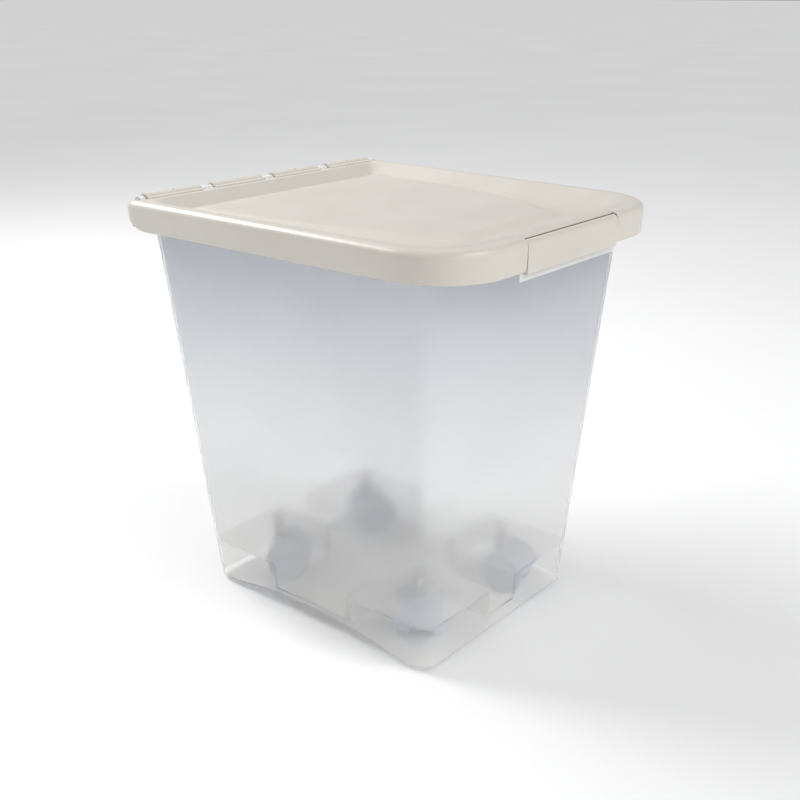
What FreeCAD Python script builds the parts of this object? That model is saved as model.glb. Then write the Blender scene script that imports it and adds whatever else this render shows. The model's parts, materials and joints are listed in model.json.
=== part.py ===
import FreeCAD, Part
import math
import os
import Sketcher
from FreeCAD import Placement, Rotation, Vector

# A free-standing pet food bin: a tapered translucent tub on four swivelling
# twin-wheel casters, closed by a hinged lid with a gasket and a front latch.
#
# Millimetres. +Z is up, the floor is Z = 0. The latch side is the front (-Y),
# the hinge side is the rear (+Y). The origin is under the middle of the whole
# bin, so the tub, which the lid overhangs at the front, sits a little to +Y.

doc = FreeCAD.newDocument("pet_food_bin")
sheet = doc.addObject("Spreadsheet::Sheet", "Sizes")

SIZES = [
    # tub body
    ("tub_centre_y", 17.0),
    ("tub_base_z", 6.0),
    ("base_half_width", 122.0),
    ("base_half_length", 152.0),
    ("base_corner", 18.0),
    ("mouth_z", 408.0),
    ("mouth_half_width", 161.8),
    ("mouth_half_length", 176.5),
    ("mouth_corner", 22.0),
    ("wall", 2.5),
    ("floor_under_z", 20.0),
    ("floor_gauge", 2.5),
    ("arch_half_chord", 115.0),
    ("arch_rise", 12.0),
    # wheel wells and stem sockets in the base
    ("well_roof_z", 49.0),
    ("well_reach", 46.0),
    ("well_corner", 30.0),
    ("socket_outer", 8.0),
    ("socket_height", 24.0),
    ("socket_depth", 21.0),
    # rim of the tub
    ("flange_gauge", 2.5),
    ("lip_inset", 4.6),
    ("lip_gauge", 2.2),
    ("lip_drop", 3.0),
    ("grip_drop", 14.5),
    ("grip_half_width", 78.0),
    ("catch_half_width", 60.0),
    ("upstand_inset", 9.5),
    ("upstand_top_z", 421.0),
    ("upstand_front_y", 184.5),
    ("upstand_rear_y", 183.5),
    ("upstand_corner_front", 55.0),
    ("upstand_corner_rear", 12.0),
    # rear hinge
    ("hinge_y", 192.0),
    ("hinge_z", 425.5),
    ("rod_radius", 3.0),
    ("clip_radius", 7.0),
    ("clip_bore", 3.06),
    ("clip_mouth", 5.0),
    ("tab_width", 69.0),
    ("tab_pitch", 85.0),
    ("tab_notch", 6.0),
    ("lug_width", 14.0),
    ("end_lug_width", 6.0),
    ("lug_radius", 5.0),
    # lid
    ("lid_half_rear", 182.0),
    ("lid_half_front", 172.5),
    ("lid_front_y", 199.0),
    ("lid_rear_y", 199.0),
    ("lid_corner_front", 68.0),
    ("lid_corner_rear", 9.0),
    ("skirt_bottom_z", 400.0),
    ("crest_z", 428.0),
    ("skirt_draft", 1.0),
    ("lid_gauge", 2.5),
    ("channel_roof_z", 425.5),
    ("panel_top_z", 416.0),
    ("shoulder_radius", 7.0),
    ("crest_edge", 14.0),
    ("slope_foot", 35.0),
    ("front_slope_top", 21.0),
    ("front_slope_foot", 36.0),
    ("rear_slope_top", 20.5),
    ("rear_slope_foot", 32.5),
    ("plateau_top_z", 420.5),
    ("plateau_bevel", 6.0),
    ("plateau_rear_y", 158.0),
    ("plateau_rear_half", 144.0),
    ("plateau_waist_y", 7.0),
    ("plateau_waist_half", 131.0),
    ("plateau_front_y", 135.0),
    ("plateau_nose_half", 85.0),
    ("plateau_nose_corner", 14.0),
    ("deck_rear", 13.5),
    ("end_cap", 9.0),
    ("end_cap_low", 3.4),
    ("end_cap_step_z", 411.0),
    ("skirt_heel", 28.0),
    # latch
    ("latch_half_width", 73.0),
    ("latch_gap", 0.6),
    ("latch_y", 194.0),
    ("latch_z", 421.0),
    ("latch_barrel", 5.0),
    ("latch_pin", 2.0),
    ("latch_pin_bore", 2.05),
    ("latch_bottom_z", 397.0),
    ("latch_gauge", 2.5),
    ("cheek_gauge", 3.4),
    # gasket
    ("gasket_width", 4.0),
    ("gasket_gap", 0.3),
    # caster
    ("caster_x", 70.0),
    ("caster_y", 100.0),
    ("trail", 10.0),
    ("wheel_radius", 22.0),
    ("wheel_inner", 9.5),
    ("wheel_outer", 23.5),
    ("wheel_bore", 2.05),
    ("wheel_bore_depth", 12.0),
    ("axle_radius", 2.0),
    ("axle_half_length", 21.0),
    ("web_half", 9.0),
    ("web_radius", 16.5),
    ("hood_inner", 22.8),
    ("hood_outer", 25.0),
    ("hood_half", 23.6),
    ("boss_radius", 7.5),
    ("boss_top_z", 48.5),
    ("stem_radius", 4.0),
    ("stem_clearance", 0.06),
    ("stem_foot_z", 34.0),
    ("stem_top_z", 69.0),
    ("groove_z", 60.0),
    ("groove_width", 3.0),
    ("groove_radius", 3.4),
    ("ring_outer", 5.0),
]

for row, (alias, value) in enumerate(SIZES, start=1):
    sheet.set(f"A{row}", alias)
    sheet.set(f"B{row}", str(value))
    sheet.setAlias(f"B{row}", alias)
doc.recompute()


gauge = doc.addObject("App::VarSet", "Gauge")
gauge.addProperty("App::PropertyFloat", "Reading")


def size(alias):
    """A driving dimension's value, for the few places that need a number."""
    return float(sheet.get(alias))


def number_of(expression):
    """The present value of an expression over the sheet, read from a property bound to it."""
    gauge.setExpression("Reading", expression.replace("$", "Sizes."))
    gauge.recompute()
    return gauge.Reading


def bind(obj, **expressions):
    """Bind properties of an object to expressions over the sheet."""
    for prop, expression in expressions.items():
        obj.setExpression(prop, expression.replace("$", "Sizes."))
    return obj


def place(obj, x="0", y="0", z="0"):
    """Bind an object's position to three expressions."""
    for axis, expression in zip("xyz", (x, y, z)):
        obj.setExpression(f"Placement.Base.{axis}", expression.replace("$", "Sizes."))
    return obj


def box(name, low, high):
    """A block between two corners, each given as three expressions."""
    block = doc.addObject("Part::Box", name)
    spans = [f"({top}) - ({bottom})" for bottom, top in zip(low, high)]
    bind(block, Length=spans[0], Width=spans[1], Height=spans[2])
    return place(block, *low)


def cylinder(name, radius, length, at, axis="z"):
    """A cylinder whose base centre is at three expressions, along +X or +Z."""
    rod = doc.addObject("Part::Cylinder", name)
    bind(rod, Radius=radius, Height=length)
    if axis == "x":
        rod.Placement = Placement(Vector(), Rotation(Vector(0, 1, 0), 90))
    return place(rod, *at)


def fuse(name, parts):
    joined = doc.addObject("Part::MultiFuse", name)
    joined.Shapes = parts
    return joined


def cut(name, base, tool):
    result = doc.addObject("Part::Cut", name)
    result.Base = base
    result.Tool = tool
    return result


def common(name, parts):
    shared = doc.addObject("Part::MultiCommon", name)
    shared.Shapes = parts
    return shared


def outline(name, z, half_front, half_rear, front, rear, corner_front, corner_rear):
    """A closed plan outline at height z: four sides joined by four corner arcs.

    The two long sides run from half_rear at the rear to half_front at the
    front. Every argument is an expression; front is a distance towards -Y.
    """
    sketch = doc.addObject("Sketcher::SketchObject", name)
    place(sketch, z=z)
    number = {
        key: number_of(text)
        for key, text in (("hf", half_front), ("hr", half_rear), ("f", front),
                          ("r", rear), ("cf", corner_front), ("cr", corner_rear))
    }
    centres = [
        Vector(number["hr"] - number["cr"], number["r"] - number["cr"], 0),
        Vector(number["cr"] - number["hr"], number["r"] - number["cr"], 0),
        Vector(number["cf"] - number["hf"], number["cf"] - number["f"], 0),
        Vector(number["hf"] - number["cf"], number["cf"] - number["f"], 0),
    ]
    radii = [number["cr"], number["cr"], number["cf"], number["cf"]]
    # direction of the right side's outward normal, for a line touching both arcs
    run = centres[0] - centres[3]
    lean = math.atan2(run.y, run.x) - math.acos((radii[3] - radii[0]) / run.Length)
    starts = [lean, math.pi / 2, math.pi - lean, 3 * math.pi / 2]
    ends = [math.pi / 2, math.pi - lean, 3 * math.pi / 2, 2 * math.pi + lean]
    up = Vector(0, 0, 1)
    arcs = []
    for centre, radius, start, end in zip(centres, radii, starts, ends):
        arc = Part.ArcOfCircle(Part.Circle(centre, up, radius), start, end)
        arcs.append(sketch.addGeometry(arc, False))
    lines = []
    for index in range(4):
        following = (index + 1) % 4
        tail = centres[index] + Vector(math.cos(ends[index]), math.sin(ends[index]), 0) * radii[index]
        head = centres[following] + Vector(
            math.cos(starts[following]), math.sin(starts[following]), 0) * radii[following]
        lines.append(sketch.addGeometry(Part.LineSegment(tail, head), False))
    for index in range(4):
        following = (index + 1) % 4
        sketch.addConstraint(Sketcher.Constraint("Tangent", arcs[index], 2, lines[index], 1))
        sketch.addConstraint(Sketcher.Constraint("Tangent", lines[index], 2, arcs[following], 1))
    across = [f"({half_rear}) - ({corner_rear})", f"({corner_rear}) - ({half_rear})",
              f"({corner_front}) - ({half_front})", f"({half_front}) - ({corner_front})"]
    along = [f"({rear}) - ({corner_rear})"] * 2 + [f"({corner_front}) - ({front})"] * 2
    bend = [corner_rear, corner_rear, corner_front, corner_front]
    for index, arc in enumerate(arcs):
        dimensions = (
            (Sketcher.Constraint("DistanceX", -1, 1, arc, 3, centres[index].x), across[index]),
            (Sketcher.Constraint("DistanceY", -1, 1, arc, 3, centres[index].y), along[index]),
            (Sketcher.Constraint("Radius", arc, radii[index]), bend[index]),
        )
        for constraint, expression in dimensions:
            datum = sketch.addConstraint(constraint)
            sketch.setExpression(f"Constraints[{datum}]", expression.replace("$", "Sizes."))
    return sketch


def rounded(name, base, radius, chosen):
    """Round, by one radius, every edge whose vertices all satisfy chosen(point)."""
    doc.recompute()
    fillet = doc.addObject("Part::Fillet", name)
    fillet.Base = base
    amount = size(radius)
    fillet.Edges = [
        (number, amount, amount)
        for number, edge in enumerate(base.Shape.Edges, start=1)
        if all(chosen(vertex.Point) for vertex in edge.Vertexes)
    ]
    return fillet


def loft(name, sections):
    solid = doc.addObject("Part::Loft", name)
    solid.Sections = sections
    solid.Solid = True
    solid.Ruled = True
    return solid


def extrude(name, sketch, length):
    solid = doc.addObject("Part::Extrusion", name)
    solid.Base = sketch
    solid.DirMode = "Custom"
    solid.Dir = Vector(0, 0, 1)
    solid.Solid = True
    return bind(solid, LengthFwd=length)


# --- Tub --------------------------------------------------------------------

def tub_section(name, z, inset="0"):
    """The tapered tub's outline at height z, moved inwards by inset."""
    share = f"((({z}) - $tub_base_z) / ($mouth_z - $tub_base_z))"
    half_width = f"$base_half_width + ($mouth_half_width - $base_half_width) * {share} - ({inset})"
    half_length = f"$base_half_length + ($mouth_half_length - $base_half_length) * {share} - ({inset})"
    corner = f"$base_corner + ($mouth_corner - $base_corner) * {share} - ({inset})"
    return outline(name, z, half_width, half_width,
                   f"{half_length} - $tub_centre_y", f"{half_length} + $tub_centre_y",
                   corner, corner)


def lid_plan(name, z, inset, front=None, rear=None, corner_front=None, corner_rear=None):
    """The lid's tapering outline at height z, moved inwards by inset."""
    return outline(name, z, f"$lid_half_front - ({inset})", f"$lid_half_rear - ({inset})",
                   front or f"$lid_front_y - ({inset})",
                   rear or f"$lid_rear_y - ({inset})",
                   corner_front or f"$lid_corner_front - ({inset})",
                   corner_rear or f"max($lid_corner_rear - ({inset}); 3)")


CORNERS = [
    # name, side of X, side of Y, direction the wheels trail in, degrees from +X
    ("front_left", -1, -1, 40.0),
    ("front_right", 1, -1, -78.0),
    ("rear_left", -1, 1, -50.0),
    ("rear_right", 1, 1, -27.0),
]


def corner_x(side):
    return f"{side} * $caster_x"


def corner_y(side):
    return f"$tub_centre_y + {side} * $caster_y"


def well_block(name, side_x, side_y, reach, low, high):
    """A square-cornered block over one caster, running out through the walls."""
    away = "70"
    limits_x = sorted(((f"{side_x} * ($caster_x - ({reach}))", side_x * -1),
                       (f"{side_x} * ($caster_x + {away})", side_x)), key=lambda end: end[1])
    limits_y = sorted(((f"$tub_centre_y + {side_y} * ($caster_y - ({reach}))", side_y * -1),
                       (f"$tub_centre_y + {side_y} * ($caster_y + {away})", side_y)),
                      key=lambda end: end[1])
    block = box(name + "_block", (limits_x[0][0], limits_y[0][0], low),
                (limits_x[1][0], limits_y[1][0], high))
    # only the upright edge that faces the middle of the tub is rounded
    inward = number_of(f"$caster_x - ({reach})") * side_x
    rearward = number_of(f"$tub_centre_y + {side_y} * ($caster_y - ({reach}))")

    def on_inner_edge(point):
        return abs(point.x - inward) < 0.1 and abs(point.y - rearward) < 0.1

    return rounded(name, block, "well_corner", on_inner_edge)


def build_tub():
    shell = loft("tub_outer", [tub_section("tub_foot", "$tub_base_z"),
                               tub_section("tub_head", "$mouth_z")])
    # rim: flange, down-turned lip, sealing upstand
    flange_under = "$mouth_z - $flange_gauge"
    flange = extrude("flange", lid_plan("flange_plan", flange_under, "$lip_inset", rear="$lid_rear_y - 3"),
                     "$flange_gauge")
    lip_solid = extrude("lip_solid", lid_plan("lip_plan", f"{flange_under} - $lip_drop", "$lip_inset",
                                              rear="$lid_rear_y - 3"), "$lip_drop + 1")
    lip_core = extrude("lip_core", lid_plan("lip_core_plan", f"{flange_under} - $lip_drop - 1",
                                            "$lip_inset + $lip_gauge", rear="$lid_rear_y - 5.2"),
                       "$lip_drop + 1")
    lip = cut("lip", lip_solid, lip_core)
    grip = box("grip_lip", ("-$grip_half_width", "$lip_inset - $lid_front_y", f"{flange_under} - $grip_drop"),
               ("$grip_half_width", "$lip_inset + $lip_gauge - $lid_front_y", flange_under))
    catch = box("catch_ridge", ("-$catch_half_width", "$lip_inset - $lid_front_y - 0.7", "$mouth_z - 4"),
                ("$catch_half_width", "$lip_inset - $lid_front_y + 0.5", "$mouth_z - 2"))

    def upstand_plan(name, z, inset):
        return outline(name, z, f"$lid_half_front - $upstand_inset - ({inset})",
                       f"$lid_half_rear - $upstand_inset - ({inset})",
                       f"$upstand_front_y - ({inset})", f"$upstand_rear_y - ({inset})",
                       f"$upstand_corner_front - ({inset})", f"$upstand_corner_rear - ({inset})")

    upstand_solid = extrude("upstand_solid", upstand_plan("upstand_plan", "$mouth_z - 1", "0"),
                            "$upstand_top_z - $mouth_z + 1")
    upstand_core = extrude("upstand_core", upstand_plan("upstand_core_plan", "$mouth_z", "$wall"),
                           "$upstand_top_z - $mouth_z + 5")
    # hinge rod on five lugs
    lugs = []
    inner_lugs = [(f"({step}) * $tab_pitch", "$lug_width") for step in (-1, 0, 1)]
    end_centre = "(2 * $tab_pitch - 3.5)"
    end_lugs = [(f"{side} * {end_centre}", "$end_lug_width") for side in (-1, 1)]
    for number, (centre, width) in enumerate(inner_lugs + end_lugs, start=1):
        lugs.append(box(f"lug_post_{number}", (f"{centre} - {width} / 2", "$hinge_y - 3.5", "$mouth_z - 1"),
                        (f"{centre} + {width} / 2", "$hinge_y + 2.5", "$hinge_z")))
        lugs.append(cylinder(f"lug_eye_{number}", "$lug_radius", width,
                             (f"{centre} - {width} / 2", "$hinge_y", "$hinge_z"), "x"))
    rod = cylinder("hinge_rod", "$rod_radius", f"2 * {end_centre}",
                   (f"-{end_centre}", "$hinge_y", "$hinge_z"), "x")
    sockets = [
        cylinder(f"socket_{name}", "$socket_outer", "$socket_height",
                 (corner_x(side_x), corner_y(side_y), "$well_roof_z"))
        for name, side_x, side_y, heading in CORNERS
    ]
    # voids: the food space, with the wells left standing in it
    cavity = loft("cavity", [tub_section("cavity_floor", "$floor_under_z + $floor_gauge", "$wall"),
                             tub_section("cavity_head", flange_under, "$wall")])
    wells = fuse("wells", [
        well_block(f"well_{name}", side_x, side_y, "$well_reach + $wall",
                   "$floor_under_z", "$well_roof_z + $wall")
        for name, side_x, side_y, heading in CORNERS
    ])
    food_space = cut("food_space", cavity, wells)
    food_space_clear = cut("food_space_clear", food_space, fuse("socket_posts", sockets))
    passage = extrude("passage", outline(
        "passage_plan", f"{flange_under} - 0.5", "$mouth_half_width - $wall", "$mouth_half_width - $wall",
        "$mouth_half_length - $wall - $tub_centre_y", "$upstand_rear_y - $wall",
        "$mouth_corner - $wall", "$mouth_corner - $wall"), "$flange_gauge + 1")
    # voids from below: the shallow base recess and the wheel wells
    below = "$tub_base_z - 3"
    recess = loft("base_recess", [tub_section("recess_foot", below, "$wall"),
                                  tub_section("recess_roof", "$floor_under_z", "$wall")])
    well_limit = loft("well_limit", [tub_section("limit_foot", below, "$wall"),
                                     tub_section("limit_roof", "$well_roof_z", "$wall")])
    well_voids = [
        common(f"well_void_{name}", [
            well_block(f"hollow_{name}", side_x, side_y, "$well_reach", below, "$well_roof_z + 10"),
            well_limit])
        for name, side_x, side_y, heading in CORNERS
    ]
    bores = []
    for name, side_x, side_y, heading in CORNERS:
        centre = (corner_x(side_x), corner_y(side_y))
        bores.append(cylinder(f"bore_{name}", "$stem_radius + $stem_clearance", "$socket_depth + 1",
                              (*centre, "$well_roof_z - 1")))
        bores.append(cylinder(f"ring_seat_{name}", "$ring_outer", "$groove_width",
                              (*centre, "$groove_z")))
    arch = doc.addObject("Part::Cylinder", "side_arch")
    arch_radius = "(($arch_half_chord^2 + $arch_rise^2) / (2 * $arch_rise))"
    bind(arch, Radius=arch_radius, Height="4 * $base_half_width")
    arch.Placement = Placement(Vector(), Rotation(Vector(0, 1, 0), 90))
    place(arch, "-2 * $base_half_width", "$tub_centre_y", f"$tub_base_z + $arch_rise - {arch_radius}")
    body = fuse("tub_body", [shell, flange, lip, grip, catch, upstand_solid, rod] + lugs)
    tub = cut("tub", body, fuse("tub_voids", [food_space_clear, passage, upstand_core, recess,
                                             arch] + well_voids + bores))
    return tub


# --- Lid --------------------------------------------------------------------

def build_lid():
    block = loft("lid_block", [lid_plan("skirt_foot", "$skirt_bottom_z", "$skirt_draft"),
                               lid_plan("skirt_head", "$crest_z", "0")])
    crest = size("crest_z")
    outer = rounded("lid_outer", block, "shoulder_radius", lambda point: point.z > crest - 0.1)
    rear_wall_line = "$lid_rear_y - $deck_rear + 0.1"
    under = loft("under_space", [
        lid_plan("under_foot", "$skirt_bottom_z - 1", "$skirt_draft + $lid_gauge", rear=rear_wall_line),
        lid_plan("under_knee", "$crest_z - $shoulder_radius - 1", "$lid_gauge", rear=rear_wall_line),
        lid_plan("under_head", "$channel_roof_z", "$shoulder_radius - 1.5", rear=rear_wall_line)])
    # the bowl: rim slope and panel, hollowed from above and standing down into the tub
    run = "($slope_foot - $crest_edge)"
    bowl_inner = loft("bowl_inner", [
        lid_plan("bowl_foot", "$panel_top_z", "$slope_foot", front="$lid_front_y - $front_slope_foot",
                 rear="$lid_rear_y - $rear_slope_foot", corner_rear="9"),
        lid_plan("bowl_head", "$crest_z", "$crest_edge", front="$lid_front_y - $front_slope_top",
                 rear="$lid_rear_y - $rear_slope_top", corner_rear="16"),
        lid_plan("bowl_clear", "$crest_z + 1", "$crest_edge", front="$lid_front_y - $front_slope_top",
                 rear="$lid_rear_y - $rear_slope_top", corner_rear="16")])
    back_off = f"({run} * 0.4 / ($crest_z - $panel_top_z))"
    bowl_outer = loft("bowl_outer", [
        lid_plan("bowl_outer_foot", "$panel_top_z - $lid_gauge", f"$slope_foot - {back_off}",
                 front="$lid_front_y - $front_slope_foot + 0.6",
                 rear="$lid_rear_y - $rear_slope_foot + 0.6", corner_rear="9"),
        lid_plan("bowl_outer_head", "$crest_z - $lid_gauge", f"$crest_edge - {back_off}",
                 front="$lid_front_y - $front_slope_top + 0.6",
                 rear="$lid_rear_y - $rear_slope_top + 0.6", corner_rear="16")])
    channel = cut("lid_channel", under, bowl_outer)
    plateau, plateau_hollow = build_plateau()
    # the rear is open for the hinge; only the side skirts reach back past the rod
    rear_notches = []
    # the lower notch also reaches forward, where the tub's flange fills the skirt's rear corners
    for name, cap, start, low, high in (
            ("low", "$end_cap_low", "$deck_rear + 9", "$skirt_bottom_z - 1", "$end_cap_step_z"),
            ("high", "$end_cap", "$deck_rear", "$end_cap_step_z", "$crest_z + 1")):
        rear_notches.append(box(f"rear_notch_{name}",
                                (f"{cap} - $lid_half_rear", f"$lid_rear_y - ({start})", low),
                                (f"$lid_half_rear - {cap}", "$lid_rear_y + 1", high)))
    heels = []
    for number, low_x in enumerate(("-$lid_half_rear - 1", "$lid_half_rear - 9"), start=1):
        high_x = f"{low_x} + 10"
        corner_block = box(f"heel_block_{number}",
                           (low_x, "$lid_rear_y - $skirt_heel", "$skirt_bottom_z - 1"),
                           (high_x, "$lid_rear_y + 1", "$skirt_bottom_z + $skirt_heel"))
        rounding = cylinder(f"heel_round_{number}", "$skirt_heel", "12",
                            (f"{low_x} - 1", "$lid_rear_y - $skirt_heel", "$skirt_bottom_z + $skirt_heel"),
                            "x")
        heels.append(cut(f"heel_{number}", corner_block, rounding))
    latch_room = "$latch_half_width + $latch_gap"
    notch_back = "$latch_barrel + 1.5 - $latch_y"
    latch_notch = box("latch_notch", (f"-({latch_room})", "-$lid_front_y - 1", "$skirt_bottom_z - 1"),
                      (latch_room, notch_back, "$crest_z + 1"))
    voids = [channel, bowl_inner, latch_notch] + rear_notches + heels
    shell = cut("lid_shell", outer, fuse("lid_voids", voids))
    # wall behind the latch, and the two cheeks that carry its pins
    wall_inner = f"{notch_back} + $lid_gauge - 0.4"
    extras = [plateau, box("latch_wall", (f"-({latch_room})", notch_back, "$mouth_z + 1.5"),
                           (latch_room, wall_inner, "$channel_roof_z + 1"))]
    for number, low_x in enumerate((latch_room, f"-({latch_room}) - $cheek_gauge"), start=1):
        extras.append(box(f"cheek_{number}", (low_x, "2 - $lid_front_y", "$mouth_z + 1.5"),
                          (f"{low_x} + $cheek_gauge", wall_inner, "$channel_roof_z + 1")))
    # hinge clips: four tabs that snap over the rod
    clips = []
    mouths = []
    for number, step in enumerate((-1.5, -0.5, 0.5, 1.5), start=1):
        start_x = f"({step}) * $tab_pitch - $tab_width / 2"
        clips.append(cylinder(f"clip_{number}", "$clip_radius", "$tab_width",
                              (start_x, "$hinge_y", "$hinge_z"), "x"))
        clips.append(box(f"clip_root_{number}", (start_x, "$lid_rear_y - $deck_rear - 2", "$channel_roof_z"),
                         (f"{start_x} + $tab_width", "$hinge_y - 1", "$crest_z + 1.5")))
        mouths.append(box(f"clip_mouth_{number}",
                          (f"{start_x} - 1", "$hinge_y - $clip_mouth / 2", "$hinge_z - $clip_radius - 1"),
                          (f"{start_x} + $tab_width + 1", "$hinge_y + $clip_mouth / 2", "$hinge_z")))
        mouths.append(box(f"clip_slot_{number}",
                          (f"({step}) * $tab_pitch - $tab_notch / 2", "$hinge_y - 2", "$hinge_z + 4.6"),
                          (f"({step}) * $tab_pitch + $tab_notch / 2", "$hinge_y + 8", "$hinge_z + 8")))
    bore = cylinder("clip_bore", "$clip_bore", "4 * $tab_pitch + 4",
                    ("-2 * $tab_pitch - 2", "$hinge_y", "$hinge_z"), "x")
    pin_reach = f"({latch_room} + $cheek_gauge - 0.6)"
    pin_bore = cylinder("pin_bore", "$latch_pin_bore", f"2 * {pin_reach}",
                        (f"-{pin_reach}", "-$latch_y", "$latch_z"), "x")
    lid = cut("lid", fuse("lid_solid", [shell] + extras + clips),
              fuse("lid_bores", mouths + [bore, pin_bore, plateau_hollow]))
    return lid


def plateau_plan(name, z, inset):
    """The tongue's outline: wide at the rear, bowed sides, a blunt end near the latch."""
    sketch = doc.addObject("Sketcher::SketchObject", name)
    place(sketch, z=z)
    shrink = number_of(inset)
    turn = size("plateau_nose_corner")
    front_y = shrink - size("plateau_front_y")
    nose_x = size("plateau_nose_half") - shrink
    # the corner arc passes through a point a little outside its chord's middle
    bulge = 0.68
    points = [
        Vector(size("plateau_rear_half") - shrink, size("plateau_rear_y") - shrink, 0),
        Vector(size("plateau_waist_half") - shrink, size("plateau_waist_y"), 0),
        Vector(nose_x, front_y + turn, 0),
        Vector(nose_x - turn * (1 - bulge), front_y + turn * (1 - bulge), 0),
        Vector(nose_x - turn, front_y, 0),
    ]
    mirrored = [Vector(-point.x, point.y, 0) for point in points]
    sketch.addGeometry([
        Part.Arc(points[0], points[1], points[2]),
        Part.Arc(points[2], points[3], points[4]),
        Part.LineSegment(points[4], mirrored[4]),
        Part.Arc(mirrored[4], mirrored[3], mirrored[2]),
        Part.Arc(mirrored[2], mirrored[1], mirrored[0]),
        Part.LineSegment(mirrored[0], points[0]),
    ], False)
    return sketch


def build_plateau():
    """The raised tongue of the lid panel with a bevelled border, and the hollow under it."""
    raised = loft("plateau", [plateau_plan("plateau_foot", "$panel_top_z - 0.5", "0"),
                              plateau_plan("plateau_head", "$plateau_top_z", "$plateau_bevel")])
    hollow = loft("plateau_hollow", [
        plateau_plan("hollow_foot", "$panel_top_z - $lid_gauge - 0.5", "0.5"),
        plateau_plan("hollow_head", "$plateau_top_z - $lid_gauge", "$plateau_bevel + 1")])
    return raised, hollow


# --- Latch and gasket ---------------------------------------------------------

def build_latch():
    """The flap: a barrel with two pins, and a face that hangs over the tub's front lip."""
    width = "2 * $latch_half_width"
    barrel = cylinder("latch_barrel_rod", "$latch_barrel", width,
                      ("-$latch_half_width", "-$latch_y", "$latch_z"), "x")
    pins = cylinder("latch_pins", "$latch_pin", f"{width} + 6",
                    ("-$latch_half_width - 3", "-$latch_y", "$latch_z"), "x")
    face = box("latch_face", ("-$latch_half_width", "-$lid_front_y", "$latch_bottom_z"),
               ("$latch_half_width", "$latch_gauge - $lid_front_y", "$latch_z"))
    ridge_root = "$latch_gauge - $lid_front_y - 0.5"
    ridge = box("latch_ridge", ("-$catch_half_width", ridge_root, "$latch_bottom_z + 4"),
                ("$catch_half_width", "3.6 - $lid_front_y", "$latch_bottom_z + 6"))
    return fuse("latch_flap", [barrel, pins, face, ridge])


def build_gasket():
    """A soft ring in the lid's channel, just above the tub's upstand."""
    spread = "($gasket_width - $wall) / 2"
    height = "$channel_roof_z - $upstand_top_z - $gasket_gap"

    def ring_plan(name, z, inset):
        return outline(name, z, f"$lid_half_front - $upstand_inset - ({inset})",
                       f"$lid_half_rear - $upstand_inset - ({inset})",
                       f"$upstand_front_y - ({inset})", f"$upstand_rear_y - ({inset})",
                       f"$upstand_corner_front - ({inset})", f"$upstand_corner_rear - ({inset})")

    outer = extrude("gasket_outer", ring_plan("gasket_plan", "$upstand_top_z + $gasket_gap", f"-{spread}"),
                    height)
    inner = extrude("gasket_inner", ring_plan("gasket_core_plan", "$upstand_top_z", f"$wall + {spread}"),
                    f"{height} + 5")
    return cut("lid_gasket", outer, inner)


# --- Casters ------------------------------------------------------------------

def sketch_in(body, name, role="XZ_Plane"):
    """A sketch lying on one of the body's own origin planes."""
    sketch = body.newObject("Sketcher::SketchObject", name)
    plane = next(feature for feature in body.Origin.OriginFeatures if feature.Role == role)
    sketch.AttachmentSupport = [(plane, "")]
    sketch.MapMode = "FlatFace"
    return sketch


def profile(sketch, points):
    """A closed polygon whose corners are bound to pairs of expressions."""
    values = [[number_of(text) for text in point] for point in points]
    corners = [Vector(x, y, 0) for x, y in values]
    count = len(corners)
    for index in range(count):
        sketch.addGeometry(Part.LineSegment(corners[index], corners[(index + 1) % count]), False)
    for index in range(count):
        sketch.addConstraint(Sketcher.Constraint("Coincident", index, 2, (index + 1) % count, 1))
    for index, (x, y) in enumerate(points):
        for kind, expression, value in (("DistanceX", x, corners[index].x),
                                        ("DistanceY", y, corners[index].y)):
            datum = sketch.addConstraint(Sketcher.Constraint(kind, -1, 1, index, 1, value))
            sketch.setExpression(f"Constraints[{datum}]", expression.replace("$", "Sizes."))


def turned_body(name, points):
    """A body made by turning a profile of (radius, height) points about its own Z axis."""
    body = doc.addObject("PartDesign::Body", name)
    sketch = sketch_in(body, f"{name}_profile")
    profile(sketch, points)
    turn = body.newObject("PartDesign::Revolution", f"{name}_turn")
    turn.Profile = sketch
    turn.ReferenceAxis = (sketch, ["V_Axis"])
    turn.Angle = 360
    return body


def build_wheel(name):
    """One moulded wheel: crowned tread, blind bore, dished outer face. Z runs outwards."""
    width = "($wheel_outer - $wheel_inner)"
    points = [
        ("$wheel_bore", "0"),
        ("6", "0"),
        ("6.6", "4"),
        ("17.6", "4"),
        ("18.2", "0.4"),
        ("$wheel_radius - 1.6", "0"),
        ("$wheel_radius", "1.8"),
        ("$wheel_radius", f"{width} - 4.5"),
        ("$wheel_radius - 1.3", f"{width} - 1.9"),
        ("$wheel_radius - 4.2", f"{width} - 0.6"),
        ("$wheel_radius - 6.5", f"{width} - 0.9"),
        ("$wheel_radius - 8", f"{width} - 2"),
        ("8", f"{width} - 2"),
        ("6.4", f"{width} - 0.4"),
        ("0", f"{width}"),
        ("0", "$wheel_bore_depth"),
        ("$wheel_bore", "$wheel_bore_depth"),
    ]
    return turned_body(name, points)


def build_stem(name):
    """Steel swivel stem with a chamfered tip and a groove for its grip ring."""
    points = [
        ("0", "$stem_foot_z"),
        ("$stem_radius", "$stem_foot_z"),
        ("$stem_radius", "$groove_z"),
        ("$groove_radius", "$groove_z"),
        ("$groove_radius", "$groove_z + $groove_width"),
        ("$stem_radius", "$groove_z + $groove_width"),
        ("$stem_radius", "$stem_top_z - 1.5"),
        ("$stem_radius - 1.5", "$stem_top_z"),
        ("0", "$stem_top_z"),
    ]
    return turned_body(name, points)


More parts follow.
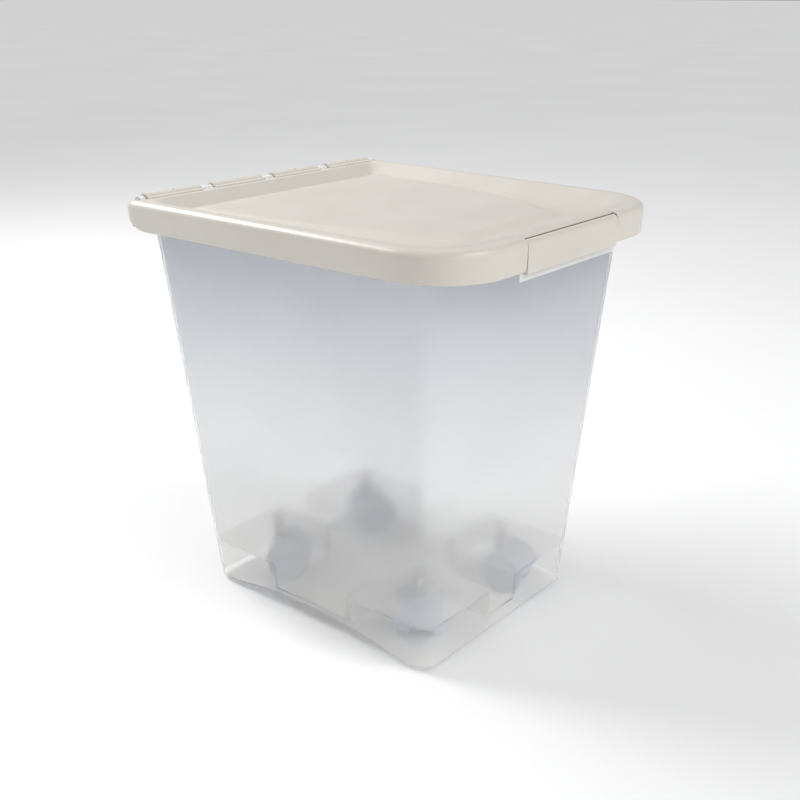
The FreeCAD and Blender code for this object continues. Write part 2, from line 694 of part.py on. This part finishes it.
def build_grip_ring(name):
    """Split spring-steel ring that holds the stem in its socket."""
    points = [
        ("$groove_radius + $stem_clearance", "$groove_z + 0.3"),
        ("$ring_outer", "$groove_z + 0.3"),
        ("$ring_outer", "$groove_z + $groove_width - 0.3"),
        ("$groove_radius + $stem_clearance", "$groove_z + $groove_width - 0.3"),
    ]
    body = turned_body(name, points)
    turn = body.Tip
    gap_degrees = 30
    turn.Angle = 360 - gap_degrees
    return body


def build_hood(name):
    """Caster body: a web on the axle, a hood over both wheels and a boss for the stem."""
    trail_back = "$trail"
    web = cylinder(f"{name}_web", "$web_radius", "2 * $web_half", ("0", "0", "0"))
    shade = cylinder(f"{name}_shade", "$hood_outer", "2 * $hood_half", ("0", "0", "0"))
    shade_core = cylinder(f"{name}_shade_core", "$hood_inner", "2 * $hood_half + 2", ("0", "0", "0"))
    bridge = cylinder(f"{name}_bridge", "$hood_inner + 0.5", "2 * $web_half", ("0", "0", "0"))
    for rod, half in ((web, "$web_half"), (shade, "$hood_half"), (shade_core, "$hood_half + 1"),
                      (bridge, "$web_half")):
        rod.Placement = Placement(Vector(), Rotation(Vector(1, 0, 0), -90))
        place(rod, trail_back, f"-({half})", "$wheel_radius")
    # the hood stops a little above the axle; the web fills it only above the axle
    cap_low = "$wheel_radius + 5"
    cap = box(f"{name}_cap_zone", ("-40", "-40", cap_low), ("$trail + 40", "40", "$boss_top_z + 5"))
    shade_ring = common(f"{name}_shade_ring", [cut(f"{name}_shade_tube", shade, shade_core), cap])
    bridge_cap = common(f"{name}_bridge_cap", [bridge, box(
        f"{name}_bridge_zone", ("-40", "-40", "$wheel_radius"), ("$trail + 40", "40", "$boss_top_z + 5"))])
    boss = cylinder(f"{name}_boss", "$boss_radius", "$boss_top_z - $wheel_radius - 4",
                    ("0", "0", "$wheel_radius + 4"))
    stem_bore = cylinder(f"{name}_stem_bore", "$stem_radius", "40", ("0", "0", "$stem_foot_z"))
    axle_bore = cylinder(f"{name}_axle_bore", "$axle_radius", "60", ("0", "0", "0"))
    axle_bore.Placement = Placement(Vector(), Rotation(Vector(1, 0, 0), -90))
    place(axle_bore, trail_back, "-30", "$wheel_radius")
    return cut(name, fuse(f"{name}_solid", [web, shade_ring, bridge_cap, boss]),
               fuse(f"{name}_bores", [stem_bore, axle_bore]))


def build_axle(name):
    """Steel pin pressed through the hood's web; both wheels spin on its ends."""
    chamfer = 0.4
    body = turned_body(name, [
        ("0", "-$axle_half_length"),
        (f"$axle_radius - {chamfer}", "-$axle_half_length"),
        ("$axle_radius", f"{chamfer} - $axle_half_length"),
        ("$axle_radius", f"$axle_half_length - {chamfer}"),
        (f"$axle_radius - {chamfer}", "$axle_half_length"),
        ("0", "$axle_half_length"),
    ])
    return body


def build_caster(corner, side_x, side_y, heading):
    """Six pieces round one swivel axis, turned to the caster's own heading."""
    pivot = Vector(side_x * size("caster_x"), size("tub_centre_y") + side_y * size("caster_y"), 0)
    swivel = Placement(pivot, Rotation(Vector(0, 0, 1), heading))
    across = Rotation(Vector(1, 0, 0), -90)
    axle_centre = Vector(size("trail"), 0, size("wheel_radius"))
    pieces = {
        f"caster_hood_{corner}": (build_hood(f"caster_hood_{corner}"), Placement()),
        f"caster_stem_{corner}": (build_stem(f"caster_stem_{corner}"), Placement()),
        f"grip_ring_{corner}": (build_grip_ring(f"grip_ring_{corner}"), Placement()),
        f"axle_{corner}": (build_axle(f"axle_{corner}"), Placement(axle_centre, across)),
    }
    for side, turn in (("a", -90), ("b", 90)):
        offset = axle_centre + Vector(0, size("wheel_inner") if turn < 0 else -size("wheel_inner"), 0)
        name = f"wheel_{corner}_{side}"
        pieces[name] = (build_wheel(name), Placement(offset, Rotation(Vector(1, 0, 0), turn)))
    for name, (piece, local) in pieces.items():
        piece.Placement = swivel.multiply(local)
        nodes[name] = piece


nodes = {
    "tub": build_tub(),
    "lid": build_lid(),
    "lid_gasket": build_gasket(),
    "latch_flap": build_latch(),
}
for corner_name, side_x, side_y, heading in CORNERS:
    build_caster(corner_name, side_x, side_y, heading)
doc.recompute()

# --- Checks and export ----------------------------------------------------------

faults = [item.Name for item in doc.Objects if {"Invalid", "Error"} & set(item.State)]
if faults:
    raise RuntimeError("failed features: " + ", ".join(faults))
for name, piece in nodes.items():
    piece.Label = name
    shape = piece.Shape
    if shape.isNull() or not shape.isValid():
        raise RuntimeError(f"{name} has no valid shape")
    if not shape.Solids:
        raise RuntimeError(f"{name} has no solid")

os.makedirs("parts", exist_ok=True)
for name, piece in nodes.items():
    piece.Shape.exportStep(os.path.join("parts", name + ".step"))
    bounds = piece.Shape.BoundBox
    print(f"{name}: {len(piece.Shape.Solids)} solid, {piece.Shape.Volume / 1000:.2f} cm3, "
          f"x {bounds.XMin:.1f}..{bounds.XMax:.1f}  y {bounds.YMin:.1f}..{bounds.YMax:.1f}  "
          f"z {bounds.ZMin:.1f}..{bounds.ZMax:.1f}")
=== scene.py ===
import json
import math

import bmesh
import bpy
import numpy as np
from mathutils import Matrix, Vector


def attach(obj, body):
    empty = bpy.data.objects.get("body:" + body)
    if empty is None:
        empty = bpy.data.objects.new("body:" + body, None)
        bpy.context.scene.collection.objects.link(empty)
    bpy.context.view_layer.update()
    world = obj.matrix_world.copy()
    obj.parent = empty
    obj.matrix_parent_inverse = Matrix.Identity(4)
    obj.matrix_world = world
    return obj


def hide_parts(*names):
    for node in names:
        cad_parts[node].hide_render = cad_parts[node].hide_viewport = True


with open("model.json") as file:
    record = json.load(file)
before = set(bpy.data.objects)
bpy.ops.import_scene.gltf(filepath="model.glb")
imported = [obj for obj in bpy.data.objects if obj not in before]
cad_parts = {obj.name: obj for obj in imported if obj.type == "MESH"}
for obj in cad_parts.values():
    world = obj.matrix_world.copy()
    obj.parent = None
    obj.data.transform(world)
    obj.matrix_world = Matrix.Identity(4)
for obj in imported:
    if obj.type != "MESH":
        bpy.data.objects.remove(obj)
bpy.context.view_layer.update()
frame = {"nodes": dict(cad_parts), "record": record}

NODES = frame["nodes"]
MM = 0.001

# The lid, in millimetres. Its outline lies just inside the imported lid's, so nothing stands out of the box.
HALF_REAR, HALF_FRONT = 181.7, 172.4
END_Y = 198.7
CORNER_FRONT, CORNER_REAR = 68.0, 9.0
SHOULDER = 7.0
SKIRT_Z, CREST_Z, ROOF_Z = 400.0, 428.0, 425.5
PANEL_Z, PANEL_UNDER_Z, PLATEAU_Z, PLATEAU_UNDER_Z = 416.0, 413.5, 420.5, 418.0
WALL = 2.5
RING_POINTS = 420
CENTRE = (0.0, 10.0)

# The bowl's slope at its top and at its foot: side inset, front end, rear end, front corner, rear corner.
BOWL_TOP = (14.0, END_Y - 21.0, END_Y - 20.5, 54.0, 16.0)
BOWL_FOOT = (35.0, END_Y - 36.0, END_Y - 32.5, 33.0, 9.0)

# The raised tongue: its rear and front ends, half its front edge, its front corner, and its right side.
TONGUE_REAR, TONGUE_FRONT, TONGUE_HALF, TONGUE_CORNER = 158.0, -135.0, 85.0, 14.0
TONGUE_SIDE = [(144, 158), (141.5, 100), (137, 50), (131, 7), (121.5, -40), (109, -80), (85, -121)]

# The hinge clips at the rear.
HINGE_Y, HINGE_Z = 192.0, 425.5
CLIP_RADIUS, CLIP_BORE, CLIP_HALF, CLIP_PITCH, CLIP_NOTCH_HALF = 7.0, 3.06, 34.5, 85.0, 3.0
CLIP_CENTRES = [step * CLIP_PITCH for step in (-1.5, -0.5, 0.5, 1.5)]

# The latch at the front: the flap's barrel, the notch that it hangs in and the cheeks that hold its pins.
LATCH_Y, LATCH_Z, LATCH_HALF = -194.0, 421.0, 73.0
BARREL_RADIUS, PIN_RADIUS, PIN_REACH = 5.0, 2.0, 2.9
LATCH_NOTCH_HALF, CHEEK_HALF = 73.6, 77.0
LATCH_NOTCH_BACK_Y, HOUSING_BACK_Y, HOUSING_FOOT_Z = -187.5, -185.4, 409.5

# The tub, in metres: in front of LIP_Y, or above LUG_Z, it is a thick milky rib and lets less light through.
# Its low IOR keeps rays nearly straight, as two close wall faces do.
TUB_TOP_Z, LIP_Y, LUG_Z = 0.41, -0.1795, 0.4085
WALL_CLEARNESS, RIB_CLEARNESS, FROSTED_IOR = 0.80, 0.25, 1.08


# --- Materials ------------------------------------------------------------------

def node_tree(name):
    material = bpy.data.materials.new(name)
    material.use_nodes = True
    tree = material.node_tree
    return material, tree, tree.nodes["Principled BSDF"]


def add(tree, kind, **values):
    """A new shader node, with values for its named sockets or its properties."""
    node = tree.nodes.new(kind)
    for key, value in values.items():
        if key in node.inputs:
            node.inputs[key].default_value = value
        else:
            setattr(node, key, value)
    return node


def noise(tree, scale, detail=4.0):
    """Noise in object space, where a unit is a metre."""
    place = add(tree, "ShaderNodeTexCoord")
    texture = add(tree, "ShaderNodeTexNoise", Scale=scale, Detail=detail)
    tree.links.new(place.outputs["Object"], texture.inputs["Vector"])
    return texture


def ramp(tree, source, stops):
    """Map a value to colours given as (position, colour) stops."""
    mapping = add(tree, "ShaderNodeValToRGB")
    elements = mapping.color_ramp.elements
    while len(elements) < len(stops):
        elements.new(0.5)
    for element, (position, colour) in zip(elements, stops):
        element.position = position
        element.color = (*colour, 1.0)
    tree.links.new(source, mapping.inputs["Fac"])
    return mapping.outputs["Color"]


def spread(tree, source, low, high):
    """Map 0.3..0.7 of a noise to low..high."""
    mapping = add(tree, "ShaderNodeMapRange")
    for key, value in (("From Min", 0.3), ("From Max", 0.7), ("To Min", low), ("To Max", high)):
        mapping.inputs[key].default_value = value
    tree.links.new(source, mapping.inputs["Value"])
    return mapping.outputs["Result"]


def bump(tree, shader, source, height, strength):
    relief = add(tree, "ShaderNodeBump", Strength=strength, Distance=height)
    tree.links.new(source, relief.inputs["Height"])
    tree.links.new(relief.outputs["Normal"], shader.inputs["Normal"])


def moulded(name, dark, light, rough, coarse=14.0, grain=240.0, strength=0.15):
    """Opaque plastic or foam: faint cloudy colour, uneven gloss and a fine surface grain."""
    material, tree, shader = node_tree(name)
    cloud = noise(tree, coarse)
    tree.links.new(ramp(tree, cloud.outputs["Fac"], [(0.3, dark), (0.7, light)]),
                   shader.inputs["Base Color"])
    sheen = noise(tree, coarse * 6)
    tree.links.new(spread(tree, sheen.outputs["Fac"], *rough), shader.inputs["Roughness"])
    ripple = noise(tree, grain, 2.0)
    bump(tree, shader, ripple.outputs["Fac"], 0.00005, strength)
    shader.inputs["IOR"].default_value = 1.49
    return material


def frosted(name):
    """Translucent polypropylene, with painted light and shade by height: lighter towards the base, where the
    bright floor shows through, and darker and cooler towards the mouth, under the lid.
    """
    material, tree, shader = node_tree(name)
    place = add(tree, "ShaderNodeTexCoord")
    split = add(tree, "ShaderNodeSeparateXYZ")
    tree.links.new(place.outputs["Object"], split.inputs["Vector"])
    rise = add(tree, "ShaderNodeMapRange")
    rise.inputs["From Max"].default_value = TUB_TOP_Z
    tree.links.new(split.outputs["Z"], rise.inputs["Value"])
    shade_wobble = noise(tree, 9.0, 3.0)
    shift = add(tree, "ShaderNodeMath", operation="MULTIPLY_ADD")
    shift.inputs[1].default_value = 0.16
    tree.links.new(shade_wobble.outputs["Fac"], shift.inputs[0])
    tree.links.new(rise.outputs["Result"], shift.inputs[2])
    # Painted shade and light: the wall colour darkens and cools towards the mouth and lightens towards the
    # base, with a little noise in where it changes.
    painted_shade_by_height = ramp(tree, shift.outputs["Value"], [
        (0.05, (1.0, 0.995, 0.98)), (0.5, (0.93, 0.933, 0.94)), (1.0, (0.74, 0.76, 0.79))])
    lip = add(tree, "ShaderNodeMath", operation="LESS_THAN")
    lip.inputs[1].default_value = LIP_Y
    tree.links.new(split.outputs["Y"], lip.inputs[0])
    lug = add(tree, "ShaderNodeMath", operation="GREATER_THAN")
    lug.inputs[1].default_value = LUG_Z
    tree.links.new(split.outputs["Z"], lug.inputs[0])
    rib = add(tree, "ShaderNodeMath", operation="MAXIMUM")
    tree.links.new(lip.outputs["Value"], rib.inputs[0])
    tree.links.new(lug.outputs["Value"], rib.inputs[1])
    mix = add(tree, "ShaderNodeMix", data_type="RGBA")
    mix.inputs["B"].default_value = (0.84, 0.84, 0.83, 1.0)
    tree.links.new(rib.outputs["Value"], mix.inputs["Factor"])
    tree.links.new(painted_shade_by_height, mix.inputs["A"])
    tree.links.new(mix.outputs["Result"], shader.inputs["Base Color"])
    clear = add(tree, "ShaderNodeMapRange")
    clear.inputs["To Min"].default_value = WALL_CLEARNESS
    clear.inputs["To Max"].default_value = RIB_CLEARNESS
    tree.links.new(rib.outputs["Value"], clear.inputs["Value"])
    tree.links.new(clear.outputs["Result"], shader.inputs["Transmission Weight"])
    sheen = noise(tree, 60.0)
    tree.links.new(spread(tree, sheen.outputs["Fac"], 0.22, 0.265), shader.inputs["Roughness"])
    ripple = noise(tree, 60.0, 0.0)
    bump(tree, shader, ripple.outputs["Fac"], 0.00003, 0.06)
    shader.inputs["IOR"].default_value = FROSTED_IOR
    return material


def plated(name):
    """Zinc-plated steel with fine turning marks."""
    material, tree, shader = node_tree(name)
    cloud = noise(tree, 120.0)
    colour = ramp(tree, cloud.outputs["Fac"], [(0.3, (0.50, 0.51, 0.53)), (0.7, (0.68, 0.69, 0.71))])
    tree.links.new(colour, shader.inputs["Base Color"])
    tree.links.new(spread(tree, cloud.outputs["Fac"], 0.22, 0.42), shader.inputs["Roughness"])
    marks = noise(tree, 1600.0, 2.0)
    bump(tree, shader, marks.outputs["Fac"], 0.00003, 0.3)
    shader.inputs["Metallic"].default_value = 1.0
    return material


MATERIALS = {
    "frosted_tub": frosted("frosted_polypropylene"),
    "lid_plastic": moulded("bone_white_plastic", (0.585, 0.555, 0.50), (0.62, 0.59, 0.535), (0.29, 0.38)),
    "gasket_rubber": moulded("grey_foam", (0.36, 0.37, 0.38), (0.46, 0.47, 0.48), (0.75, 0.9),
                             coarse=80.0, grain=500.0, strength=0.8),
    "caster_plastic": moulded("blue_grey_nylon", (0.36, 0.44, 0.60), (0.42, 0.50, 0.66), (0.4, 0.55),
                              coarse=60.0),
    "wheel_plastic": moulded("wheel_nylon", (0.28, 0.36, 0.52), (0.35, 0.43, 0.59), (0.45, 0.7),
                             coarse=90.0, grain=300.0, strength=0.6),
    "plated_steel": plated("zinc_plate"),
}


def paint(obj, slot_name):
    obj.data.materials.clear()
    obj.data.materials.append(MATERIALS[slot_name])


def soften(obj, width, angle=35.0):
    """Small rounded edges, as a mould leaves them."""
    edge = obj.modifiers.new("soft_edges", "BEVEL")
    edge.width = width
    edge.segments = 2
    edge.limit_method = "ANGLE"
    edge.angle_limit = math.radians(angle)
    edge.harden_normals = False


# --- Carried-over parts -----------------------------------------------------------

for entry in frame["record"]["subparts"]:
    paint(NODES[entry["node"]], entry["material_slot"])


# --- Lid --------------------------------------------------------------------------

def arc(centre, radius, start, end, count=40):
    """Points on an arc, from start to end in degrees."""
    turns = np.radians(np.linspace(start, end, count))
    return [(centre[0] + radius * math.cos(t), centre[1] + radius * math.sin(t)) for t in turns]


def on_circle(centre, radius, degrees):
    """Points on a circle at each of the given angles."""
    return [(centre[0] + radius * math.cos(math.radians(t)), centre[1] + radius * math.sin(math.radians(t)))
            for t in degrees]


def lid_outline(inset, front, rear, corner_front, corner_rear):
    """Dense plan outline of the lid, moved in at the sides by inset."""
    right_rear, right_front = HALF_REAR - inset, HALF_FRONT - inset
    points = arc((right_rear - corner_rear, rear - corner_rear), corner_rear, 0, 90)
    points += arc((corner_rear - right_rear, rear - corner_rear), corner_rear, 90, 180)
    points += arc((corner_front - right_front, corner_front - front), corner_front, 180, 270)
    points += arc((right_front - corner_front, corner_front - front), corner_front, 270, 360)
    return points


def concentric(inset):
    """The lid's plan outline, moved in all round by inset."""
    end = END_Y - inset
    return lid_outline(inset, end, end, max(CORNER_FRONT - inset, 6.0), max(CORNER_REAR - inset, 3.0))


def bowl(share):
    """Outline of the bowl's slope, from its top (share 0) to its foot (share 1)."""
    return lid_outline(*[top + share * (foot - top) for top, foot in zip(BOWL_TOP, BOWL_FOOT)])


def tongue(inset):
    """Outline of the raised tongue, moved in by inset."""
    rear, corner_y = TONGUE_REAR - inset, TONGUE_FRONT + inset + TONGUE_CORNER
    shrunk = [(x - inset, min(max(y, corner_y), rear)) for x, y in TONGUE_SIDE]
    corner = arc((TONGUE_HALF - inset - TONGUE_CORNER, corner_y), TONGUE_CORNER, 0, -90, 12)
    half = shrunk + corner
    return half + [(-x, y) for x, y in reversed(half)]


def polar_ring(points, angles):
    """Resample a star-shaped closed outline at fixed directions from the lid's middle."""
    data = np.array(points) - np.array(CENTRE)
    closed = np.vstack([data, data[:1]])
    fine = np.vstack([np.linspace(a, b, 24, endpoint=False) for a, b in zip(closed[:-1], closed[1:])])
    theta = np.arctan2(fine[:, 1], fine[:, 0])
    order = np.argsort(theta)
    radius = np.hypot(fine[:, 0], fine[:, 1])[order]
    r = np.interp(angles, theta[order], radius, period=2 * math.pi)
    return np.column_stack([CENTRE[0] + r * np.cos(angles), CENTRE[1] + r * np.sin(angles)])


def even_angles():
    """Directions spaced evenly along the lid's edge, so its corners get their share."""
    data = np.array(concentric(0.0)) - np.array(CENTRE)
    closed = np.vstack([data, data[:1]])
    fine = np.vstack([np.linspace(a, b, 60, endpoint=False) for a, b in zip(closed[:-1], closed[1:])])
    length = np.concatenate([[0], np.cumsum(np.linalg.norm(np.diff(fine, axis=0), axis=1))])
    spots = np.linspace(0, length[-1], RING_POINTS, endpoint=False)
    x, y = np.interp(spots, length, fine[:, 0]), np.interp(spots, length, fine[:, 1])
    return np.sort(np.arctan2(y, x))


def lid_rings():
    """(outline, height) pairs of the top side, from the skirt's foot in to the tongue."""
    rings = [(concentric(1.0), SKIRT_Z), (concentric(0.6), 406.0), (concentric(0.2), 415.0)]
    for turn in range(0, 91, 10):
        lean = math.radians(turn)
        inset, rise = SHOULDER * (1 - math.cos(lean)), SHOULDER * math.sin(lean)
        rings.append((concentric(inset), CREST_Z - SHOULDER + rise))
    rings += [(concentric(10.5), CREST_Z), (bowl(0.0), CREST_Z - 0.3), (bowl(0.07), CREST_Z - 1.0)]
    rings += [(bowl(share), CREST_Z - 12 * share - 0.2) for share in (0.2, 0.5, 0.8)]
    rings += [(bowl(0.93), PANEL_Z + 0.7), (bowl(1.05), PANEL_Z + 0.1)]
    rings += [(tongue(-2.0), PANEL_Z), (tongue(-0.8), PANEL_Z + 0.2), (tongue(10.4), PLATEAU_Z - 0.5),
              (tongue(11.3), PLATEAU_Z - 0.12), (tongue(12.4), PLATEAU_Z), (tongue(24.0), PLATEAU_Z)]
    return rings


def lid_under_rings():
    """(outline, height) pairs of the underside, from the tongue out to the skirt's foot."""
    return [(tongue(24.0), PLATEAU_UNDER_Z), (tongue(14.0), PLATEAU_UNDER_Z), (tongue(3.0), PANEL_UNDER_Z),
            (bowl(1.0), PANEL_UNDER_Z), (bowl(0.93), PANEL_UNDER_Z + 0.5), (bowl(0.0), ROOF_Z - 0.6),
            (concentric(12.0), ROOF_Z), (concentric(5.5), ROOF_Z), (concentric(WALL), 420.0),
            (concentric(1.0 + WALL), SKIRT_Z)]


def loft_rings(mesh, rings, angles):
    """Faces through matched rings; returns the rings' vertices."""
    rows = []
    for outline, height in rings:
        spots = polar_ring(outline, angles)
        rows.append([mesh.verts.new((x * MM, y * MM, height * MM)) for x, y in spots])
    count = len(angles)
    for lower, upper in zip(rows[:-1], rows[1:]):
        for i in range(count):
            j = (i + 1) % count
            mesh.faces.new((lower[i], lower[j], upper[j], upper[i]))
    return rows


def new_object(name, mesh):
    """A linked object from a bmesh, with its faces turned outwards."""
    bmesh.ops.recalc_face_normals(mesh, faces=mesh.faces[:])
    data = bpy.data.meshes.new(name)
    mesh.to_mesh(data)
    mesh.free()
    obj = bpy.data.objects.new(name, data)
    bpy.context.scene.collection.objects.link(obj)
    return obj


def finish_mesh(name, mesh, slot_name, body, smooth_angle=30.0):
    """A painted, smooth-shaded piece that rides on a body."""
    obj = new_object(name, mesh)
    paint(obj, slot_name)
    smooth(obj, smooth_angle)
    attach(obj, body)
    return obj


def smooth(obj, angle):
    obj.data.shade_smooth()
    obj.data.set_sharp_from_angle(angle=math.radians(angle))


def block(mesh, low, high):
    """A box between two corners, in millimetres."""
    for vert in bmesh.ops.create_cube(mesh, size=1.0)["verts"]:
        for axis in range(3):
            vert.co[axis] = (low[axis] if vert.co[axis] < 0 else high[axis]) * MM


def extrude_x(mesh, profile, low_x, high_x):
    """A prism along X from a closed (y, z) profile in millimetres."""
    ends = [[mesh.verts.new((x * MM, y * MM, z * MM)) for y, z in profile] for x in (low_x, high_x)]
    count = len(profile)
    for i in range(count):
        j = (i + 1) % count
        mesh.faces.new((ends[0][i], ends[0][j], ends[1][j], ends[1][i]))
    mesh.faces.new(ends[0][::-1])
    mesh.faces.new(ends[1])


def cutter(name, build):
    """A tool for carve, from a function that fills a bmesh."""
    mesh = bmesh.new()
    build(mesh)
    return new_object(name, mesh)


def box_cutter(name, low, high):
    return cutter(name, lambda mesh: block(mesh, low, high))


def carve(obj, tools):
    """Subtract each tool from obj, for good, and remove the tool."""
    for tool in tools:
        step = obj.modifiers.new("carve", "BOOLEAN")
        step.operation = "DIFFERENCE"
        step.solver = "EXACT"
        step.object = tool
        bpy.context.view_layer.update()
        graph = bpy.context.evaluated_depsgraph_get()
        carved = bpy.data.meshes.new_from_object(obj.evaluated_get(graph))
        obj.modifiers.clear()
        obj.data = carved
        bpy.data.objects.remove(tool)


def lid_cutters():
    """Tools for the latch notch, the open rear with its end caps, and the two rounded heels."""
    beyond, below, above = 201, 398, 430
    heel_y, heel_radius = 171, 28

    def heel(side):
        def build(mesh):
            curve = [(heel_y + heel_radius * math.sin(math.radians(t)),
                      CREST_Z - heel_radius * math.cos(math.radians(t))) for t in range(0, 91, 6)]
            profile = curve + [(beyond, CREST_Z), (beyond, below), (heel_y, below)]
            extrude_x(mesh, profile, *sorted((side * 173, side * 184)))
        return build

    yield box_cutter("cut_latch", (-LATCH_NOTCH_HALF, -beyond, below),
                     (LATCH_NOTCH_HALF, LATCH_NOTCH_BACK_Y, above))
    yield box_cutter("cut_rear_low", (-178.6, 176.5, below), (178.6, beyond, 411))
    yield box_cutter("cut_rear_high", (-173, 185.5, 410.9), (173, beyond, above))
    yield cutter("cut_heel_left", heel(-1))
    yield cutter("cut_heel_right", heel(1))


def build_lid():
    """The lid's skin, top and underside in one closed shell."""
    mesh = bmesh.new()
    rows = loft_rings(mesh, lid_under_rings() + lid_rings(), even_angles())
    mesh.faces.new(rows[-1])
    mesh.faces.new(rows[0][::-1])
    smooth_angle = 32.0
    lid = finish_mesh("lid_shell", mesh, "lid_plastic", "lid", smooth_angle)
    carve(lid, lid_cutters())
    paint(lid, "lid_plastic")
    smooth(lid, smooth_angle)
    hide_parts("lid")


def clip_profile():
    """A C-shaped clip open downwards, blended into the lid's rear deck."""
    axis = (HINGE_Y, HINGE_Z)
    outer = on_circle(axis, CLIP_RADIUS, range(-68, 146, 6))
    deck = [(183.5, 429.2), (183.5, 425.6), (185.4, 425.4)]
    lower = on_circle(axis, CLIP_RADIUS, range(184, 249, 6))
    bore = on_circle(axis, CLIP_BORE, range(234, -55, -8))
    return outer + deck + lower + bore


def build_clips():
    """Four clips over the hinge rod, each with a small notch in its crown."""
    mesh = bmesh.new()
    for x in CLIP_CENTRES:
        extrude_x(mesh, clip_profile(), x - CLIP_HALF, x + CLIP_HALF)
    clips = finish_mesh("lid_hinge_clips", mesh, "lid_plastic", "lid")
    carve(clips, [box_cutter(f"cut_clip_{index}", (x - CLIP_NOTCH_HALF, 190, 430.1),
                             (x + CLIP_NOTCH_HALF, 200, 434)) for index, x in enumerate(CLIP_CENTRES)])
    paint(clips, "lid_plastic")
    smooth(clips, 30.0)
    soften(clips, 0.0006, 50.0)


def build_housing():
    """The wall behind the latch and the two cheeks that hold its pins."""
    lip_under = [(LATCH_NOTCH_BACK_Y, 421.0), (-189.0, 423.6), (-190.2, 425.1), (-191.6, 426.1)]
    lip_top = [(-191.9, 426.8), (-191.0, 427.6), (HOUSING_BACK_Y, 427.8)]
    foot = [(HOUSING_BACK_Y, HOUSING_FOOT_Z), (LATCH_NOTCH_BACK_Y, HOUSING_FOOT_Z)]
    mesh = bmesh.new()
    extrude_x(mesh, foot + lip_under + lip_top, -LATCH_NOTCH_HALF, LATCH_NOTCH_HALF)
    for side in (-1, 1):
        low_x, high_x = sorted((side * LATCH_NOTCH_HALF, side * CHEEK_HALF))
        block(mesh, (low_x, -197.0, HOUSING_FOOT_Z), (high_x, HOUSING_BACK_Y, 426.5))
    housing = finish_mesh("lid_latch_housing", mesh, "lid_plastic", "lid")
    soften(housing, 0.0004)


def build_latch():
    """The flap: a barrel running into a thin plate with a ridge inside, and a pin at each end."""
    axis = (LATCH_Y, LATCH_Z)
    front = [(-199.0, 397.8), (-199.0, 409.0)]
    barrel = on_circle(axis, BARREL_RADIUS, range(180, -121, -10))
    ridge = [(-196.5, 403.2), (-195.5, 402.6), (-195.5, 401.4), (-196.5, 400.8)]
    foot = [(-196.5, 397.6), (-197.1, 397.0), (-198.3, 397.0)]
    profile = front + barrel + [(-196.5, 415.0)] + ridge + foot
    pin = on_circle(axis, PIN_RADIUS, range(0, 360, 15))
    mesh = bmesh.new()
    extrude_x(mesh, profile, -LATCH_HALF, LATCH_HALF)
    for side in (-1, 1):
        extrude_x(mesh, pin, *sorted((side * (LATCH_HALF - 1), side * (LATCH_HALF + PIN_REACH))))
    flap = finish_mesh("latch_flap_shell", mesh, "lid_plastic", "latch")
    soften(flap, 0.0006, 50.0)
    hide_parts("latch_flap")


build_lid()
build_clips()
build_housing()
build_latch()

# --- Stage, light and camera --------------------------------------------------------

def build_floor():
    """A pale floor that reaches far behind the bin."""
    half = 60.0
    corners = [(-half, -half), (half, -half), (half, half), (-half, half)]
    mesh = bmesh.new()
    mesh.faces.new([mesh.verts.new((x, y, 0.0)) for x, y in corners])
    floor = new_object("floor", mesh)
    material, tree, shader = node_tree("pale_floor")
    cloud = noise(tree, 1.5)
    colour = ramp(tree, cloud.outputs["Fac"], [(0.3, (0.90, 0.90, 0.90)), (0.7, (0.93, 0.93, 0.93))])
    tree.links.new(colour, shader.inputs["Base Color"])
    shader.inputs["Roughness"].default_value = 0.8
    floor.data.materials.append(material)


def place_light(name, data, at, direction):
    lamp = bpy.data.objects.new(name, data)
    lamp.location = at
    lamp.rotation_euler = Vector(direction).to_track_quat("-Z", "Y").to_euler()
    bpy.context.scene.collection.objects.link(lamp)


def softbox(name, at, size, power):
    """A rectangular light aimed at the upper part of the bin."""
    data = bpy.data.lights.new(name, "AREA")
    data.shape = "RECTANGLE"
    data.size, data.size_y = size
    data.energy = power
    place_light(name, data, at, Vector((0.0, 0.0, 0.30)) - Vector(at))


def build_light():
    """An even pale surround, a wide soft sun from the front and two softboxes."""
    world = bpy.data.worlds.new("studio")
    world.use_nodes = True
    background = world.node_tree.nodes["Background"]
    background.inputs["Color"].default_value = (0.98, 0.985, 1.0, 1.0)
    background.inputs["Strength"].default_value = 0.44
    bpy.context.scene.world = world
    sun = bpy.data.lights.new("front_window", "SUN")
    sun.energy = 1.25
    sun.angle = math.radians(30)
    place_light("front_window", sun, (0.0, 0.0, 0.0), (-0.22, 0.9, -0.95))
    softbox("rear_softbox", (-0.45, 1.5, 1.7), (1.3, 0.45), 36.0)
    softbox("front_softbox", (-0.35, -2.2, 1.0), (1.8, 1.2), 11.0)


def build_camera():
    """The photograph's viewing angle: from the front left, a little above the lid."""
    place = Vector((-0.8140, -0.6865, 0.6195))
    data = bpy.data.cameras.new("camera")
    data.lens, data.sensor_width = 49.0, 36.0
    data.clip_start, data.clip_end = 0.01, 200.0
    camera = bpy.data.objects.new("camera", data)
    back = Vector((-0.7145, -0.6038, 0.3535)).normalized()
    right = Vector((0.6455, -0.7638, 0.0)).normalized()
    up = back.cross(right)
    camera.matrix_world = Matrix.Translation(place) @ Matrix((right, up, back)).transposed().to_4x4()
    bpy.context.scene.collection.objects.link(camera)
    bpy.context.scene.camera = camera


build_floor()
build_light()
build_camera()
bpy.context.scene.view_settings.view_transform = "Standard"
